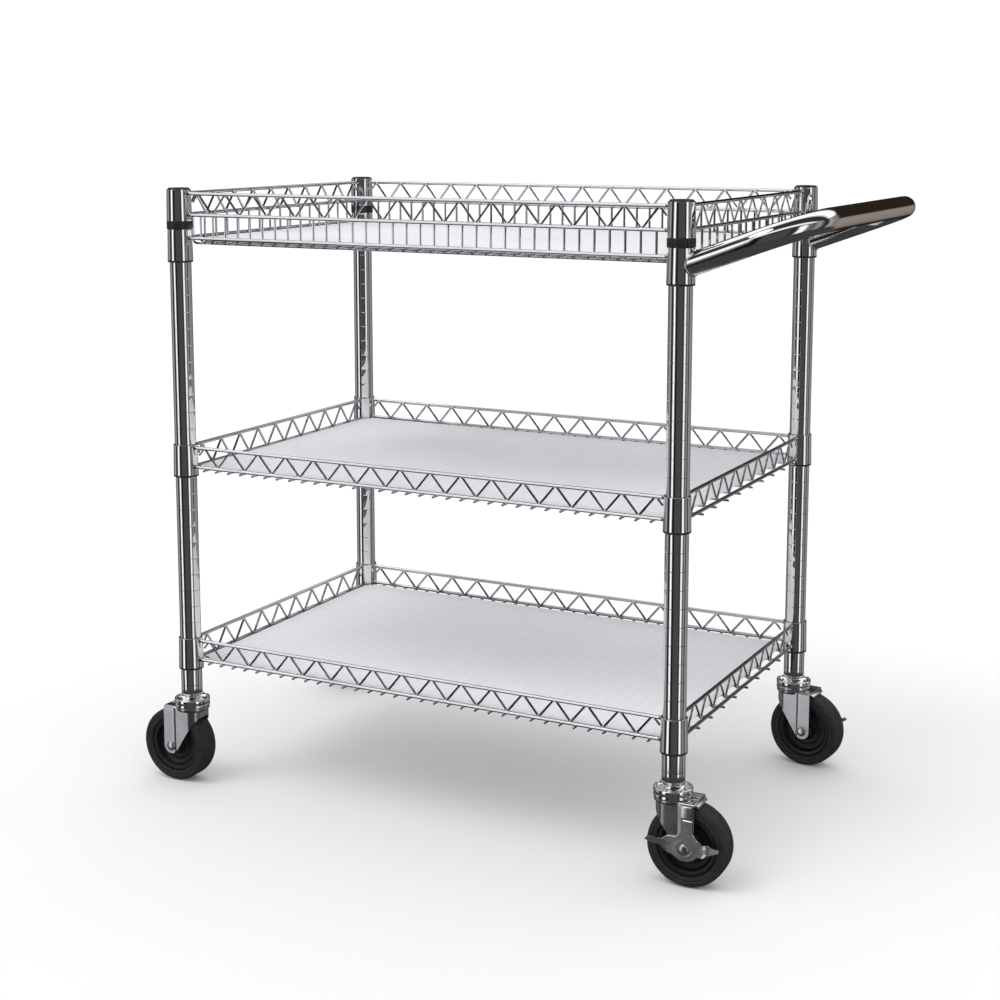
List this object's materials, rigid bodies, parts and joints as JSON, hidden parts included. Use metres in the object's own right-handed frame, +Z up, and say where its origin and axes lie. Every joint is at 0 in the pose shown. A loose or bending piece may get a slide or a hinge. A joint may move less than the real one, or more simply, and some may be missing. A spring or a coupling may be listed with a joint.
{
  "type": "wire shelf cart",
  "caption": "Chrome wire utility cart with a deep wire tray, lined wire shelves on grooved posts, a push handle and swivel casters with side brakes.",
  "frame": {"origin": "under the middle of the overall outline, on the floor", "axes": "+X along the cart towards the push handle, +Y across it, +Z up"},
  "size_m": [0.9355, 0.5207, 0.8034],
  "materials": {
    "post_chrome": "bright chrome plate on grooved tube",
    "collar_chrome": "bright chrome plate",
    "wire_chrome": "bright chrome plate on welded wire",
    "handle_chrome": "bright chrome plate",
    "caster_chrome": "bright zinc and chrome plate on pressed steel",
    "brake_steel": "plated pressed steel",
    "bolt_steel": "zinc plated",
    "ball_steel": "polished",
    "bush_brass": "sintered",
    "black_plastic": "satin moulded",
    "hub_plastic": "satin moulded",
    "tyre_rubber": "smooth moulded rubber",
    "liner_plastic": "frosted translucent sheet"
  },
  "bodies": {
    "frame": {"post_front_left": "post_chrome", "post_front_right": "post_chrome", "post_back_left": "post_chrome", "post_back_right": "post_chrome", "post_caps": "black_plastic", "caster_sockets": "black_plastic", "tray_rim_sleeves": "black_plastic", "tray_foot_sleeves": "black_plastic", "middle_sleeves": "black_plastic", "lower_sleeves": "black_plastic", "tray_rim_collars": "collar_chrome", "tray_foot_collars": "collar_chrome", "middle_collars": "collar_chrome", "lower_collars": "collar_chrome", "tray_rim_rails": "wire_chrome", "tray_floor_rails": "wire_chrome", "tray_zigzags": "wire_chrome", "tray_cross_wires": "wire_chrome", "tray_long_wires": "wire_chrome", "middle_rails": "wire_chrome", "middle_zigzags": "wire_chrome", "middle_cross_wires": "wire_chrome", "middle_long_wires": "wire_chrome", "lower_rails": "wire_chrome", "lower_zigzags": "wire_chrome", "lower_cross_wires": "wire_chrome", "lower_long_wires": "wire_chrome", "handle_tube": "handle_chrome", "caster_stems": "bolt_steel", "caster_races": "caster_chrome", "race_balls": "ball_steel"},
    "tray_liner_sheet": {"tray_liner": "liner_plastic"},
    "middle_liner_sheet": {"middle_liner": "liner_plastic"},
    "lower_liner_sheet": {"lower_liner": "liner_plastic"},
    "caster_front_left": {"fork_front_left": "caster_chrome", "axle_front_left": "bolt_steel"},
    "wheel_front_left": {"hub_front_left": "hub_plastic", "tyre_front_left": "tyre_rubber", "bush_front_left": "bush_brass"},
    "caster_front_right": {"fork_front_right": "caster_chrome", "axle_front_right": "bolt_steel"},
    "wheel_front_right": {"hub_front_right": "hub_plastic", "tyre_front_right": "tyre_rubber", "bush_front_right": "bush_brass"},
    "brake_pedal_front_right": {"pedal_front_right": "brake_steel"},
    "brake_shoe_front_right": {"shoe_front_right": "brake_steel"},
    "caster_back_left": {"fork_back_left": "caster_chrome", "axle_back_left": "bolt_steel"},
    "wheel_back_left": {"hub_back_left": "hub_plastic", "tyre_back_left": "tyre_rubber", "bush_back_left": "bush_brass"},
    "caster_back_right": {"fork_back_right": "caster_chrome", "axle_back_right": "bolt_steel"},
    "wheel_back_right": {"hub_back_right": "hub_plastic", "tyre_back_right": "tyre_rubber", "bush_back_right": "bush_brass"},
    "brake_pedal_back_right": {"pedal_back_right": "brake_steel"},
    "brake_shoe_back_right": {"shoe_back_right": "brake_steel"}
  },
  "joints": [
    {"name": "tray_liner_lift", "type": "slide", "parent": "frame", "child": "tray_liner_sheet", "axis": [0, 0, 1], "range_m": [0, 0.1]},
    {"name": "middle_liner_lift", "type": "slide", "parent": "frame", "child": "middle_liner_sheet", "axis": [0, 0, 1], "range_m": [0, 0.1]},
    {"name": "lower_liner_lift", "type": "slide", "parent": "frame", "child": "lower_liner_sheet", "axis": [0, 0, 1], "range_m": [0, 0.1]},
    {"name": "swivel_front_left", "type": "hinge", "parent": "frame", "child": "caster_front_left", "pos_m": [-0.39575, -0.224, 0.105], "axis": [0, 0, 1], "continuous": true},
    {"name": "roll_front_left", "type": "hinge", "parent": "caster_front_left", "child": "wheel_front_left", "pos_m": [-0.41775, -0.224, 0.05], "axis": [0, -1, 0], "continuous": true},
    {"name": "swivel_front_right", "type": "hinge", "parent": "frame", "child": "caster_front_right", "pos_m": [0.30425, -0.224, 0.105], "axis": [0, 0, 1], "continuous": true},
    {"name": "roll_front_right", "type": "hinge", "parent": "caster_front_right", "child": "wheel_front_right", "pos_m": [0.32624, -0.22323, 0.05], "axis": [-0.0349, 0.9994, 0], "continuous": true},
    {"name": "pedal_rock_front_right", "type": "hinge", "parent": "caster_front_right", "child": "brake_pedal_front_right", "pos_m": [0.32624, -0.22323, 0.05], "axis": [-0.0349, 0.9994, 0], "range_deg": [-14, 0]},
    {"name": "shoe_press_front_right", "type": "hinge", "parent": "caster_front_right", "child": "brake_shoe_front_right", "pos_m": [0.31624, -0.22358, 0.1018], "axis": [-0.0349, 0.9994, 0], "range_deg": [0, 2]},
    {"name": "swivel_back_left", "type": "hinge", "parent": "frame", "child": "caster_back_left", "pos_m": [-0.39575, 0.224, 0.105], "axis": [0, 0, 1], "continuous": true},
    {"name": "roll_back_left", "type": "hinge", "parent": "caster_back_left", "child": "wheel_back_left", "pos_m": [-0.41775, 0.224, 0.05], "axis": [0, -1, 0], "continuous": true},
    {"name": "swivel_back_right", "type": "hinge", "parent": "frame", "child": "caster_back_right", "pos_m": [0.30425, 0.224, 0.105], "axis": [0, 0, 1], "continuous": true},
    {"name": "roll_back_right", "type": "hinge", "parent": "caster_back_right", "child": "wheel_back_right", "pos_m": [0.32613, 0.2217, 0.05], "axis": [0.1045, 0.9945, 0], "continuous": true},
    {"name": "pedal_rock_back_right", "type": "hinge", "parent": "caster_back_right", "child": "brake_pedal_back_right", "pos_m": [0.32613, 0.2217, 0.05], "axis": [0.1045, 0.9945, 0], "range_deg": [0, 14]},
    {"name": "shoe_press_back_right", "type": "hinge", "parent": "caster_back_right", "child": "brake_shoe_back_right", "pos_m": [0.31618, 0.22275, 0.1018], "axis": [0.1045, 0.9945, 0], "range_deg": [0, 2]}
  ],
  "couplings": [
    {"joint": "shoe_press_front_right", "follows": "pedal_rock_front_right", "ratio": -0.14286},
    {"joint": "shoe_press_back_right", "follows": "pedal_rock_back_right", "ratio": 0.14286}
  ]
}
